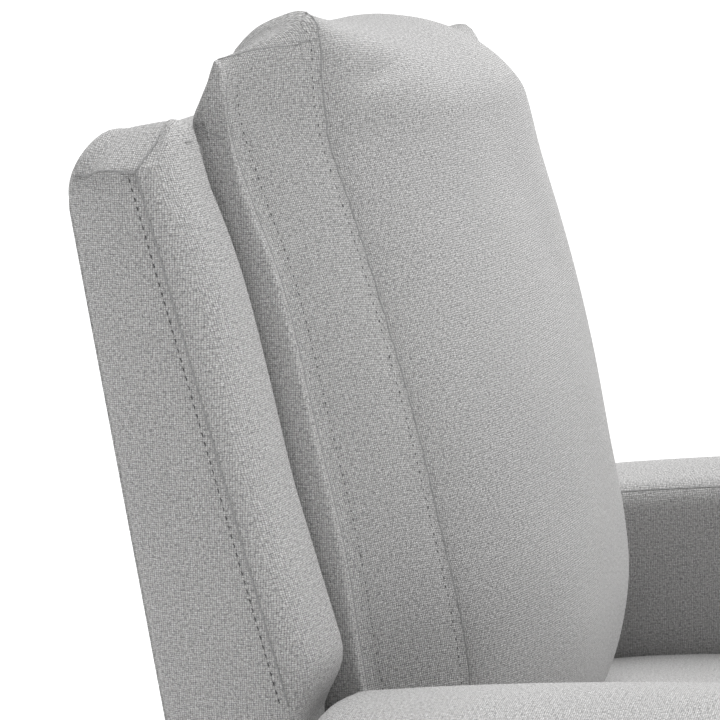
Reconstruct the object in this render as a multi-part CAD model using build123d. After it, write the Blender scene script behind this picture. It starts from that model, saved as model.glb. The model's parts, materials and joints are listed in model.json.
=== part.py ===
from build123d import *
import math
import os

# Upholstered swivel glider chair, in millimetres.
# +Z is up and the chair faces -Y. The origin is on the floor, on the swivel's axis,
# under the middle of the chair. Left is the sitter's left, +X.

os.makedirs("parts", exist_ok=True)

# ---- Upholstered body ----
ARM_OUTER = 375.0        # half the width over the arms
ARM_INNER = 262.0        # half the width between the arms
ARM_FRONT = -405.0       # front face of the arms
ARM_REAR_Z = 611.0       # arm top where it meets the back
ARM_MID_Y = -21.0        # a point on the arched arm top
ARM_MID_Z = 638.0
ARM_FRONT_Z = 634.0
ARM_FRONT_ROUND = 55.0
ARM_REAR_ROUND = 18.0
ARM_EDGE_ROUND = 24.0
ARM_WALL = 14.0          # padding and board of the arm cover
SKIRT_Z = 80.0           # underside of the upholstery
LEAN = 0.152             # rearward lean of the back, per mm of height
ARM_REAR = 243.0         # rear face of the arm, at ARM_REAR_Z
OUTSIDE_BACK = 348.0     # rear face of the chair, at BACK_REF_Z
BACK_REF_Z = 620.0
BACK_HALF = 326.0        # half the width of the back over its wings
WING_INNER = 258.0       # inner face of a wing
BACK_TOP = 980.0         # top of the wings and of the back frame's padding
PANEL = 12.0             # thickness of the padded outside back
SOFT_GAP = 2.0           # between soft pieces that only lie beside each other
FIT_GAP = 0.3            # round a piece that sits in a pocket

# ---- Timber ----
BOARD = 25.0             # thickness of the frame's boards
POST_DEPTH = 50.0        # front to rear, of a back post
POST_X = 278.0           # inner face of the back posts and of the arm frames
RAIL_LOW = 250.0         # underside of the seat rails
RAIL_HIGH = 310.0        # top of the seat rails
RAIL_X = 235.0           # inner face of the side rails
SEAT_FRONT = -378.0      # front face of the front rail
SEAT_REAR = 185.0        # rear face of the rear rail

# ---- Seat suspension ----
WIRE_R = 1.9             # sinuous spring wire
SPRING_XS = [-184.0, -92.0, 0.0, 92.0, 184.0]
SPRING_HALF = 24.0       # half the width of a spring
SPRING_BENDS = 25
CLIP_HIGH = 8.0
DECK_Z = 326.0           # underside of the seat cushion

# ---- Base and swivel ----
PAD_HIGH = 6.0           # floor pads
RING_R = 280.0           # outside of the base ring
RING_WIDE = 25.0
TUBE_HIGH = 20.0         # base ring and spokes
TUBE_WALL = 1.5
SPOKE_WIDE = 40.0
SPOKE_START = 60.0
HUB_R = 110.0
PLATE = 4.0              # steel plate of the hub, races, stands, links and brackets
RACE_R = 85.0
BALL_R = 4.0
BALL_CIRCLE = 70.0
BALL_COUNT = 20
BALL_GAP = 0.05
RACE_GAP = 5.0           # between the two races
KING_R = 6.0
PIVOT_GAP = 0.05         # radial play of a bearing

# ---- Glide ----
PIVOT_Y = 105.0          # the links' pivots, ahead of and behind the middle
PIVOT_HIGH = 215.0
PIVOT_LOW = 85.0
PIN_R = 5.0
BUSH_R = 8.0
BUSH_FLANGE_R = 11.0
BUSH_FLANGE = 2.0
LINK_WIDE = 30.0
STAND_X = 183.0          # inner face of a hanger stand
LINK_X = 190.0           # inner face of a link
BRACKET_X = 204.0        # inner face of a glide bracket
CROSS_Y = 95.0           # cross rails of the carriage
CROSS_WIDE = 30.0
CROSS_HIGH = 25.0
MOVING_GAP = 0.3         # between faces that slide past each other

# Heights worked out from the above
RING_TOP = PAD_HIGH + TUBE_HIGH
HUB_TOP = RING_TOP + PLATE
LOWER_RACE_TOP = HUB_TOP + PLATE
UPPER_RACE_Z = LOWER_RACE_TOP + RACE_GAP
BALL_Z = (LOWER_RACE_TOP + UPPER_RACE_Z) / 2
SWIVEL_Z = UPPER_RACE_Z + PLATE
SWIVEL_TOP = SWIVEL_Z + PLATE
CROSS_TOP = SWIVEL_TOP + CROSS_HIGH


def save(name, shape):
    """Writes one named piece."""
    export_step(shape, f"parts/{name}.step")


def save_pair(name, left):
    """Writes a left-hand piece and its mirror image on the right."""
    save(f"{name}_left", left)
    save(f"{name}_right", mirror(left, about=Plane.YZ))


def block(x, y, z):
    """A block between two values along each axis."""
    sizes = [high - low for low, high in (x, y, z)]
    middle = [(high + low) / 2 for low, high in (x, y, z)]
    return Pos(*middle) * Box(*sizes)


def rod_x(radius, x, y, z):
    """A cylinder along X."""
    return Pos((x[0] + x[1]) / 2, y, z) * Rot(0, 90, 0) * Cylinder(radius, x[1] - x[0])


def rod_z(radius, z, x=0.0, y=0.0):
    """A cylinder along Z."""
    return Pos(x, y, (z[0] + z[1]) / 2) * Cylinder(radius, z[1] - z[0])


def hexagon_z(flats, z, x=0.0, y=0.0):
    """A hexagonal nut or bolt head on a vertical axis."""
    outline = RegularPolygon(flats / math.sqrt(3), 6)
    return Pos(x, y, z[0]) * extrude(outline, amount=z[1] - z[0])


def hexagon_x(flats, x, y, z):
    """A hexagonal bolt head on an axis along X."""
    outline = RegularPolygon(flats / math.sqrt(3), 6)
    return Pos(x[0], y, z) * Rot(0, 90, 0) * extrude(outline, amount=x[1] - x[0])


def slab(outline, x):
    """A side outline, a face with Y across and Z up, extruded between two values of X."""
    return Pos(x[0], 0, 0) * extrude(Plane.YZ * outline, amount=x[1] - x[0])


def polygon(*points):
    """A face from its corners."""
    return make_face(Polyline(*points, close=True))


def group(shapes):
    """Separate solids that share one node."""
    return Compound([solid for shape in shapes for solid in shape.solids()])


def rear(z):
    """The rear face of the chair at a height."""
    return OUTSIDE_BACK + LEAN * (z - BACK_REF_Z)


def arm_rear(z):
    """The rear face of the arms at a height."""
    return ARM_REAR + LEAN * (z - ARM_REAR_Z)


def leaning(front, back, z):
    """A board's side outline that leans with the back: two distances ahead of its rear face."""
    return polygon(
        (rear(z[0]) - front, z[0]),
        (rear(z[1]) - front, z[1]),
        (rear(z[1]) - back, z[1]),
        (rear(z[0]) - back, z[0]),
    )


# ---- Base ----

PAD_ANGLES = [30 + 60 * n for n in range(6)]
PEG_R = 4.0


def ring_point(angle):
    """A point over the middle of the base ring's tube."""
    middle = RING_R - RING_WIDE / 2
    return middle * math.cos(math.radians(angle)), middle * math.sin(math.radians(angle))


def base_ring():
    """A rectangular tube bent into a ring, with a hole for each floor pad's peg."""
    outside = Rectangle(RING_WIDE, TUBE_HIGH)
    inside = Rectangle(RING_WIDE - 2 * TUBE_WALL, TUBE_HIGH - 2 * TUBE_WALL)
    section = Pos(RING_R - RING_WIDE / 2, PAD_HIGH + TUBE_HIGH / 2) * (outside - inside)
    ring = revolve(Plane.XZ * section, axis=Axis.Z)
    for angle in PAD_ANGLES:
        x, y = ring_point(angle)
        ring -= rod_z(PEG_R + FIT_GAP, (0, PAD_HIGH + 2 * TUBE_WALL), x, y)
    return ring


def floor_pad(angle):
    """A round foot with a peg that snaps into the ring."""
    x, y = ring_point(angle)
    foot = fillet(rod_z(11.5, (0, PAD_HIGH), x, y).edges().sort_by(Axis.Z)[:1], 1.5)
    return foot + rod_z(PEG_R, (PAD_HIGH - 1, PAD_HIGH + 4), x, y)


def spoke(angle):
    """A rectangular tube from the hub to the ring, with open ends."""
    half = SPOKE_WIDE / 2
    tube = block((SPOKE_START, RING_R), (-half, half), (PAD_HIGH, RING_TOP))
    bore = block(
        (0, RING_R),
        (TUBE_WALL - half, half - TUBE_WALL),
        (PAD_HIGH + TUBE_WALL, RING_TOP - TUBE_WALL),
    )
    within = rod_z(RING_R - RING_WIDE, (0, HUB_TOP))
    return Rot(0, 0, angle) * ((tube - bore) & within)


def hub_plate():
    """The round plate welded over the inner ends of the spokes."""
    return rod_z(HUB_R, (RING_TOP, HUB_TOP)) - rod_z(KING_R + PIVOT_GAP, (0, HUB_TOP))


def groove():
    """The space that the ball track takes out of a race."""
    return Pos(0, 0, BALL_Z) * Torus(BALL_CIRCLE, BALL_R + BALL_GAP)


def lower_race():
    """The fixed half of the ball bearing."""
    disc = rod_z(RACE_R, (HUB_TOP, LOWER_RACE_TOP))
    return disc - rod_z(KING_R + PIVOT_GAP, (0, BALL_Z)) - groove()


def upper_race():
    """The turning half of the ball bearing."""
    disc = rod_z(RACE_R, (UPPER_RACE_Z, SWIVEL_Z))
    return disc - rod_z(KING_R + PIVOT_GAP, (0, SWIVEL_TOP)) - groove()


def ball_spots():
    """Where the balls sit round the track."""
    return [
        (BALL_CIRCLE * math.cos(turn), BALL_CIRCLE * math.sin(turn))
        for turn in (2 * math.pi * n / BALL_COUNT for n in range(BALL_COUNT))
    ]


def ball_cage():
    """The plastic ring that keeps the balls apart."""
    low, high = BALL_Z - 1.0, BALL_Z + 1.0
    cage = rod_z(BALL_CIRCLE + 9, (low, high)) - rod_z(BALL_CIRCLE - 9, (low, high))
    for x, y in ball_spots():
        cage -= rod_z(BALL_R + FIT_GAP, (low, high), x, y)
    return cage


WASHER_Z = SWIVEL_TOP + MOVING_GAP
WASHER_HIGH = 2.5
NUT_HIGH = 10.0


def king_bolt():
    """The bolt that the chair swivels on, with its head under the hub plate."""
    head = hexagon_z(19, (RING_TOP - 8, RING_TOP))
    shank = rod_z(KING_R, (RING_TOP - 1, WASHER_Z + WASHER_HIGH + NUT_HIGH + 4))
    return head + chamfer(shank.edges().sort_by(Axis.Z)[-1:], 1)


def king_washer():
    """The washer under the king bolt's nut."""
    high = (WASHER_Z, WASHER_Z + WASHER_HIGH)
    return rod_z(14, high) - rod_z(KING_R + PIVOT_GAP, high)


def king_nut():
    """The lock nut on the king bolt."""
    high = (WASHER_Z + WASHER_HIGH, WASHER_Z + WASHER_HIGH + NUT_HIGH)
    return hexagon_z(19, high) - rod_z(KING_R + PIVOT_GAP, high)


# ---- Carriage, which swivels and holds the links' upper pivots ----

CARRIAGE_BOLT_X = 80.0
CARRIAGE_BOLT_R = 4.0


def carriage_bolt_spots():
    """The four bolts through the swivel plate and the cross rails."""
    return [(x, y) for x in (-CARRIAGE_BOLT_X, CARRIAGE_BOLT_X) for y in (-CROSS_Y, CROSS_Y)]


def bore_carriage(shape):
    """Drills a piece for the carriage bolts."""
    for x, y in carriage_bolt_spots():
        shape -= rod_z(CARRIAGE_BOLT_R + FIT_GAP, (0, CROSS_TOP + 1), x, y)
    return shape


def swivel_plate():
    """The plate on the upper race that carries the cross rails."""
    half = CROSS_Y + CROSS_WIDE / 2
    plate = block((-half, half), (-half, half), (SWIVEL_Z, SWIVEL_TOP))
    plate = fillet(plate.edges().filter_by(Axis.Z), 12)
    return bore_carriage(plate - rod_z(KING_R + PIVOT_GAP, (0, SWIVEL_TOP)))


def cross_rail(y):
    """A rectangular tube between the two hanger stands, with open ends."""
    half = CROSS_WIDE / 2
    tube = block((-STAND_X, STAND_X), (y - half, y + half), (SWIVEL_TOP, CROSS_TOP))
    bore = block(
        (-STAND_X, STAND_X),
        (y - half + TUBE_WALL, y + half - TUBE_WALL),
        (SWIVEL_TOP + TUBE_WALL, CROSS_TOP - TUBE_WALL),
    )
    return bore_carriage(tube - bore)


def carriage_bolt(x, y):
    """A bolt with its head on the cross rail and its nut under the swivel plate."""
    head = hexagon_z(13, (CROSS_TOP, CROSS_TOP + 5), x, y)
    shank = rod_z(CARRIAGE_BOLT_R, (SWIVEL_Z - 4, CROSS_TOP + 1), x, y)
    return head + shank


def hanger_stand():
    """The left upright plate that holds two upper pivots, with its lightening hole."""
    foot = CROSS_Y + CROSS_WIDE / 2
    outline = polygon(
        (-foot, SWIVEL_TOP),
        (foot, SWIVEL_TOP),
        (PIVOT_Y + 18, PIVOT_HIGH + 16),
        (-PIVOT_Y - 18, PIVOT_HIGH + 16),
    )
    outline = fillet(outline.vertices(), 10)
    outline -= Pos(0, (CROSS_TOP + PIVOT_HIGH) / 2) * RectangleRounded(96, 90, 20)
    stand = slab(outline, (STAND_X, STAND_X + PLATE))
    for y in (-PIVOT_Y, PIVOT_Y):
        stand -= rod_x(PIN_R, (STAND_X, STAND_X + PLATE), y, PIVOT_HIGH)
    return stand


LINK_END = LINK_X + PLATE + BUSH_FLANGE


def upper_pin(y):
    """A left-hand pin riveted into the stand, with its head outside the link."""
    shank = rod_x(PIN_R, (STAND_X, LINK_END + 1), y, PIVOT_HIGH)
    head = rod_x(BUSH_R, (LINK_END + MOVING_GAP, LINK_END + MOVING_GAP + 3), y, PIVOT_HIGH)
    return shank + head


# ---- Links ----


def link(y):
    """A left-hand flat link that hangs from its upper pivot."""
    length = PIVOT_HIGH - PIVOT_LOW
    middle = (PIVOT_HIGH + PIVOT_LOW) / 2
    outline = Pos(y, middle) * Rot(0, 0, 90) * SlotCenterToCenter(length, LINK_WIDE)
    body = slab(outline, (LINK_X, LINK_X + PLATE))
    for z in (PIVOT_HIGH, PIVOT_LOW):
        body -= rod_x(BUSH_R, (LINK_X, LINK_X + PLATE), y, z)
    return body


def bush(y, z):
    """A flanged bush pressed into one end of a left-hand link."""
    sleeve = rod_x(BUSH_R, (LINK_X, LINK_X + PLATE), y, z)
    inner = rod_x(BUSH_FLANGE_R, (LINK_X - BUSH_FLANGE, LINK_X), y, z)
    outer = rod_x(BUSH_FLANGE_R, (LINK_X + PLATE, LINK_END), y, z)
    bore = rod_x(PIN_R + PIVOT_GAP, (LINK_X - BUSH_FLANGE, LINK_END), y, z)
    return sleeve + inner + outer - bore


# ---- Glide brackets, which hang the seat on the links' lower pivots ----

FLANGE_END = 256.0
BRACKET_HALF = 126.0
SCREW_Y = 65.0
SCREW_X = 248.0


def glide_bracket():
    """The left bent plate: it hangs down to the lower pivots, and its flange is under the side rail."""
    outline = polygon(
        (-BRACKET_HALF, PIVOT_LOW - 17),
        (BRACKET_HALF, PIVOT_LOW - 17),
        (BRACKET_HALF, RAIL_LOW),
        (-BRACKET_HALF, RAIL_LOW),
    )
    outline = fillet(outline.vertices().group_by(Axis.Y)[0], 16)
    outline -= Pos(0, (PIVOT_LOW + RAIL_LOW) / 2) * RectangleRounded(98, 96, 20)
    plate = slab(outline, (BRACKET_X, BRACKET_X + PLATE))
    flange = block(
        (BRACKET_X, FLANGE_END), (-BRACKET_HALF, BRACKET_HALF), (RAIL_LOW - PLATE, RAIL_LOW)
    )
    bracket = plate + flange
    for y in (-PIVOT_Y, PIVOT_Y):
        bracket -= rod_x(PIN_R, (BRACKET_X, BRACKET_X + PLATE), y, PIVOT_LOW)
    for y in (-SCREW_Y, SCREW_Y):
        bracket -= rod_z(3.3, (RAIL_LOW - PLATE, RAIL_LOW), SCREW_X, y)
    return bracket


def bracket_screw(y):
    """A left-hand lag screw up through the bracket's flange into the side rail."""
    head = hexagon_z(10, (RAIL_LOW - PLATE - 4, RAIL_LOW - PLATE), SCREW_X, y)
    return head + rod_z(3.0, (RAIL_LOW - PLATE - 1, RAIL_LOW + 40), SCREW_X, y)


def lower_pin(y):
    """A left-hand pin through the bracket and the link, with its head outside the bracket."""
    start = LINK_X - BUSH_FLANGE
    shank = rod_x(PIN_R, (start, BRACKET_X + PLATE + 1), y, PIVOT_LOW)
    head = rod_x(BUSH_R, (BRACKET_X + PLATE, BRACKET_X + PLATE + 4), y, PIVOT_LOW)
    return shank + head


def pivot_spacer(y):
    """A left-hand sleeve on the lower pin, between the link and the bracket."""
    span = (LINK_END + MOVING_GAP, BRACKET_X)
    return rod_x(BUSH_R, span, y, PIVOT_LOW) - rod_x(PIN_R + PIVOT_GAP, span, y, PIVOT_LOW)


# ---- Seat frame and its suspension ----

ARM_BOLT_YS = [-270.0, -90.0, 90.0]
ARM_BOLT_Z = 280.0
ARM_BOLT_R = 4.0


def bore_arm(shape):
    """Drills a left-hand piece for the bolts that hold the arm to the side rail."""
    for y in ARM_BOLT_YS:
        shape -= rod_x(ARM_BOLT_R + FIT_GAP, (RAIL_X, POST_X + BOARD + 8), y, ARM_BOLT_Z)
    return shape


def side_rail():
    """The left side rail, drilled for the arm bolts and the bracket's screws."""
    rail = block((RAIL_X, RAIL_X + BOARD), (SEAT_FRONT, SEAT_REAR), (RAIL_LOW, RAIL_HIGH))
    for y in (-SCREW_Y, SCREW_Y):
        rail -= rod_z(3.0, (RAIL_LOW, RAIL_LOW + 40), SCREW_X, y)
    return bore_arm(rail)


def end_rail(y):
    """The front or rear rail, between the side rails."""
    return block((-RAIL_X, RAIL_X), (y, y + BOARD), (RAIL_LOW, RAIL_HIGH))


def corner_block(x_sign, y, y_sign):
    """A triangular glue block in a corner of the seat frame."""
    side = 55.0
    outline = polygon(
        (x_sign * RAIL_X, y),
        (x_sign * (RAIL_X - side), y),
        (x_sign * RAIL_X, y + y_sign * side),
    )
    return Pos(0, 0, RAIL_LOW + 12) * extrude(outline, amount=RAIL_HIGH - RAIL_LOW - 24)


FRONT_CLIP_Y = SEAT_FRONT + BOARD / 2
REAR_CLIP_Y = SEAT_REAR - BOARD / 2
SPRING_Z = RAIL_HIGH + CLIP_HIGH / 2


def spring(x):
    """A sinuous spring: a zigzag of wire from the front rail to the rear one."""
    pitch = (REAR_CLIP_Y - FRONT_CLIP_Y) / SPRING_BENDS
    corners = [(x - SPRING_HALF / 2, FRONT_CLIP_Y, SPRING_Z)]
    for n in range(SPRING_BENDS):
        reach = SPRING_HALF if n % 2 == 0 else -SPRING_HALF
        corners.append((x + reach, FRONT_CLIP_Y + n * pitch, SPRING_Z))
        corners.append((x + reach, FRONT_CLIP_Y + (n + 1) * pitch, SPRING_Z))
    corners.append((x + SPRING_HALF / 2, REAR_CLIP_Y, SPRING_Z))
    path = FilletPolyline(*corners, radius=0.45 * pitch)
    section = Plane(origin=corners[0], z_dir=(1, 0, 0)) * Circle(WIRE_R)
    return sweep(section, path=path)


def spring_clip(x, y):
    """A clip on a rail that holds the end of one spring."""
    body = block((x - 10, x + 10), (y - 7, y + 7), (RAIL_HIGH, RAIL_HIGH + CLIP_HIGH))
    slot = block((x - 11, x + 11), (y - WIRE_R - 0.1, y + WIRE_R + 0.1), (SPRING_Z - 2, DECK_Z))
    return body - slot


def dust_cover():
    """The thin cloth stapled under the rails, between the glide brackets."""
    half = BRACKET_X - 8
    return block((-half, half), (SEAT_FRONT, SEAT_REAR), (RAIL_LOW - 1.5, RAIL_LOW))


def spring_pad():
    """The felt pad that lies on the springs."""
    return block(
        (-RAIL_X, RAIL_X),
        (SEAT_FRONT + BOARD, SEAT_REAR - BOARD),
        (RAIL_HIGH + CLIP_HIGH, DECK_Z - SOFT_GAP),
    )


# ---- Arms ----


def arm_outline():
    """The side outline of an arm: a gently arched top and rounded ends."""
    top = ThreePointArc(
        (ARM_REAR, ARM_REAR_Z), (ARM_MID_Y, ARM_MID_Z), (ARM_FRONT, ARM_FRONT_Z)
    )
    rest = Polyline(
        (ARM_FRONT, ARM_FRONT_Z),
        (ARM_FRONT, SKIRT_Z),
        (arm_rear(SKIRT_Z), SKIRT_Z),
        (ARM_REAR, ARM_REAR_Z),
    )
    outline = make_face([top, rest])
    front_corner = outline.vertices().sort_by_distance((ARM_FRONT, ARM_FRONT_Z))[0]
    outline = fillet(front_corner, ARM_FRONT_ROUND)
    rear_corner = outline.vertices().sort_by_distance((ARM_REAR, ARM_REAR_Z))[0]
    return fillet(rear_corner, ARM_REAR_ROUND)


def arm_cover():
    """The left arm's padded cover, open underneath, where the arm frame goes in."""
    outline = arm_outline()
    body = slab(outline, (ARM_INNER, ARM_OUTER))
    top_edges = [
        edge
        for edge in body.edges()
        if edge.bounding_box().size.X < 0.01 and edge.center().Z > SKIRT_Z + 1
    ]
    body = fillet(top_edges, ARM_EDGE_ROUND)
    inside = slab(offset(outline, -ARM_WALL), (ARM_INNER + ARM_WALL, ARM_OUTER - ARM_WALL))
    mouth = block(
        (ARM_INNER + ARM_WALL, ARM_OUTER - ARM_WALL),
        (ARM_FRONT + ARM_WALL, arm_rear(SKIRT_Z) - ARM_WALL),
        (SKIRT_Z, SKIRT_Z + ARM_WALL + 1),
    )
    cover = bore_arm(body - inside - mouth)
    for plate in bracket_plates(FIT_GAP):
        cover -= plate
    return cover


ARM_FRAME_TOP = 580.0
ARM_FRAME_LOW = 98.0
ARM_FRAME_FRONT = -382.0


def arm_rear_post_y(z):
    """The rear face of the arm frame's rear post."""
    return arm_rear(z) - ARM_WALL - SOFT_GAP


def arm_frame():
    """The left arm's timber frame: two posts, a top rail and a bottom rail."""
    outer = polygon(
        (ARM_FRAME_FRONT, ARM_FRAME_LOW),
        (arm_rear_post_y(ARM_FRAME_LOW), ARM_FRAME_LOW),
        (arm_rear_post_y(ARM_FRAME_TOP), ARM_FRAME_TOP),
        (ARM_FRAME_FRONT, ARM_FRAME_TOP),
    )
    bay = (ARM_FRAME_FRONT + 50, arm_rear_post_y(ARM_FRAME_LOW) - 50)
    lower_bay = Pos(sum(bay) / 2, 190) * Rectangle(bay[1] - bay[0], 90)
    upper_bay = Pos(sum(bay) / 2, 435) * Rectangle(bay[1] - bay[0], 190)
    return bore_arm(slab(outer - lower_bay - upper_bay, (POST_X, POST_X + BOARD)))


def arm_bolt(y):
    """A left-hand bolt from inside the side rail into the arm frame."""
    head = hexagon_x(13, (RAIL_X - 5, RAIL_X), y, ARM_BOLT_Z)
    return head + rod_x(ARM_BOLT_R, (RAIL_X - 1, POST_X + BOARD + 6), y, ARM_BOLT_Z)


def arm_nut(y):
    """A left-hand flanged nut on the outside of the arm frame."""
    span = (POST_X + BOARD, POST_X + BOARD + 5)
    return rod_x(9, span, y, ARM_BOLT_Z) - rod_x(ARM_BOLT_R + PIVOT_GAP, span, y, ARM_BOLT_Z)


# ---- Back ----

BACK_LOW = 90.0
POST_LOW = 96.0
POST_TOP = 944.0
TOP_RAIL = (904.0, 944.0)
MIDDLE_RAIL = (560.0, 600.0)
LOWER_RAIL = (300.0, 350.0)
BRACKET_ZS = [395.0, 480.0]


def bracket_plates(gap=0.0):
    """The left pair of steel plates that tie the back posts to the arm frame."""
    return [
        block(
            (POST_X - 3 - gap, POST_X),
            (arm_rear_post_y(z) - 40 - gap, rear(z) - PANEL - 5 + gap),
            (z - 12 - gap, z + 12 + gap),
        )
        for z in BRACKET_ZS
    ]


def back_post(gap=0.0):
    """The left upright of the back frame."""
    outline = leaning(PANEL + POST_DEPTH + gap, PANEL - gap, (POST_LOW - gap, POST_TOP + gap))
    return slab(outline, (POST_X - gap, POST_X + BOARD + gap))


def back_rail(z, gap=0.0):
    """A cross rail between the back posts."""
    outline = leaning(PANEL + BOARD + gap, PANEL - gap, (z[0] - gap, z[1] + gap))
    return slab(outline, (-POST_X, POST_X))


def webbing():
    """Elastic straps across the back frame, in front of the posts."""
    ahead = PANEL + POST_DEPTH
    straps = []
    for z in (440, 520, 600, 680, 760, 840):
        outline = leaning(ahead + 2, ahead, (z - 25, z + 25))
        straps.append(slab(outline, (-POST_X - BOARD + 2, POST_X + BOARD - 2)))
    return group(straps)


def wing():
    """The left padded side of the back, which wraps round its post."""
    front = 236.0
    outline = polygon(
        (arm_rear(BACK_LOW) + 3, BACK_LOW),
        (arm_rear(600) + 3, 600),
        (front, 652),
        (328, 972),
        (348, BACK_TOP + 6),
        (372, BACK_TOP + 4),
        (rear(966) - PANEL, 966),
        (rear(BACK_LOW) - PANEL, BACK_LOW),
    )
    body = slab(outline, (WING_INNER, BACK_HALF))
    soft_edges = [
        edge
        for edge in body.edges()
        if edge.bounding_box().size.X < 0.01
        and 652 < edge.center().Z < 975
        and edge.center().Y < rear(edge.center().Z) - PANEL - 5
    ]
    body = fillet(soft_edges, 14)
    body -= back_post(FIT_GAP)
    for z in (TOP_RAIL, MIDDLE_RAIL, LOWER_RAIL):
        body -= back_rail(z, FIT_GAP)
    for plate in bracket_plates(FIT_GAP):
        body -= plate
    pocket = leaning(PANEL + POST_DEPTH + 4, PANEL + POST_DEPTH, (410, 870))
    return body - slab(pocket, (WING_INNER, POST_X + BOARD))


def outside_back():
    """The padded panel that closes the rear of the chair."""
    panel = slab(leaning(PANEL, 0, (SKIRT_Z, BACK_TOP)), (-BACK_HALF, BACK_HALF))
    return fillet(panel.edges().filter_by(Axis.Z, tolerance=10).sort_by(Axis.Y)[-2:], 5)


def top_roll():
    """The padding on the back frame's top rail, behind the head of the cushion."""
    low = TOP_RAIL[1] + SOFT_GAP
    outline = polygon(
        (rear(low) - PANEL - 48, low),
        (rear(low) - PANEL - 48, BACK_TOP - 4),
        (rear(low) - PANEL - 30, BACK_TOP),
        (rear(BACK_TOP) - PANEL, BACK_TOP),
        (rear(low) - PANEL, low),
    )
    return slab(outline, (-WING_INNER + SOFT_GAP, WING_INNER - SOFT_GAP))


SEAM_OUTER = 251.0       # where the cushion's side meets its gusset
SEAM_INNER = 187.0       # where the gusset meets the front panel


def back_section(z, behind, outer, inner, crown):
    """A level cut through the back cushion: a flat rear, two gussets and a crowned front."""
    front = ThreePointArc((SEAM_INNER, inner), (0, crown), (-SEAM_INNER, inner))
    rest = Polyline(
        (-SEAM_INNER, inner),
        (-SEAM_OUTER, outer),
        (-SEAM_OUTER, behind),
        (SEAM_OUTER, behind),
        (SEAM_OUTER, outer),
        (SEAM_INNER, inner),
    )
    return Pos(0, 0, z) * make_face([front, rest])


def back_cushion():
    """The attached back cushion, fuller at the lumbar, with a head part above the wings."""
    behind = PANEL + POST_DEPTH + 4
    sections = [
        back_section(506, rear(506) - behind, 206, 186, 134),
        back_section(560, rear(560) - behind, 214, 170, 119),
        back_section(640, rear(640) - behind, 226, 174, 122),
        back_section(760, rear(760) - behind, 248, 201, 142),
        back_section(880, rear(880) - behind, 277, 234, 169),
        back_section(960, rear(960) - behind, 305, 262, 196),
        back_section(1010, rear(960) - behind, 309, 266, 203),
        back_section(1048, 304, 296, 274, 246),
    ]
    return loft(sections, ruled=True)


# ---- Seat and front ----


def seat_section(y, low, side, crown):
    """An upright cut through the seat cushion, crowned on top."""
    half = ARM_INNER - SOFT_GAP
    top = ThreePointArc((half, side), (0, crown), (-half, side))
    rest = Polyline((-half, side), (-half, low), (half, low), (half, side))
    return Plane.XZ.offset(-y) * make_face([top, rest])


def seat_cushion():
    """The attached seat cushion, which rises to the front and rolls over its front edge."""
    sections = [
        seat_section(196, DECK_Z, 466, 476),
        seat_section(120, DECK_Z, 477, 492),
        seat_section(-60, DECK_Z, 491, 507),
        seat_section(-240, DECK_Z, 499, 514),
        seat_section(-340, DECK_Z, 493, 506),
        seat_section(-380, DECK_Z + 6, 470, 480),
        seat_section(-398, DECK_Z + 24, 434, 440),
    ]
    half = ARM_INNER - SOFT_GAP
    room = block((-half, half), (ARM_FRONT, ARM_REAR), (DECK_Z, ARM_REAR_Z))
    return loft(sections) & room


def front_board():
    """The plywood behind the front cover, fixed to the front rail."""
    half = ARM_INNER - SOFT_GAP
    return block((-half, half), (SEAT_FRONT - 9, SEAT_FRONT), (SKIRT_Z + 4, DECK_Z - 6))


def front_cover():
    """The padded cover on the front board, under the seat cushion."""
    half = ARM_INNER - SOFT_GAP
    return block((-half, half), (SEAT_FRONT - 17, SEAT_FRONT - 9), (SKIRT_Z, DECK_Z - SOFT_GAP))


# ---- Pieces, one node each ----

save("base_ring", base_ring())
save("floor_pads", group([floor_pad(angle) for angle in PAD_ANGLES]))
save("base_spokes", group([spoke(90 * n) for n in range(4)]))
save("hub_plate", hub_plate())
save("lower_race", lower_race())
save("ball_cage", ball_cage())
save("bearing_balls", group([Pos(x, y, BALL_Z) * Sphere(BALL_R) for x, y in ball_spots()]))
save("king_bolt", king_bolt())
save("king_washer", king_washer())
save("king_nut", king_nut())

save("upper_race", upper_race())
save("swivel_plate", swivel_plate())
save("cross_rail_front", cross_rail(-CROSS_Y))
save("cross_rail_rear", cross_rail(CROSS_Y))
save("carriage_bolts", group([carriage_bolt(x, y) for x, y in carriage_bolt_spots()]))
save_pair("hanger_stand", hanger_stand())
upper_pins = [upper_pin(y) for y in (-PIVOT_Y, PIVOT_Y)]
save("upper_pins", group(upper_pins + [mirror(pin, about=Plane.YZ) for pin in upper_pins]))

for place, pivot_y in (("front", -PIVOT_Y), ("rear", PIVOT_Y)):
    save_pair(f"link_{place}", link(pivot_y))
    save_pair(f"bushes_{place}", group([bush(pivot_y, z) for z in (PIVOT_HIGH, PIVOT_LOW)]))


def save_mirrored(name, left_shapes):
    """Writes left-hand fasteners and their mirror images as one node."""
    save(name, group(left_shapes + [mirror(shape, about=Plane.YZ) for shape in left_shapes]))


save_pair("glide_bracket", glide_bracket())
save_mirrored("bracket_screws", [bracket_screw(y) for y in (-SCREW_Y, SCREW_Y)])
save_mirrored("lower_pins", [lower_pin(y) for y in (-PIVOT_Y, PIVOT_Y)])
save_mirrored("pivot_spacers", [pivot_spacer(y) for y in (-PIVOT_Y, PIVOT_Y)])

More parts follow.
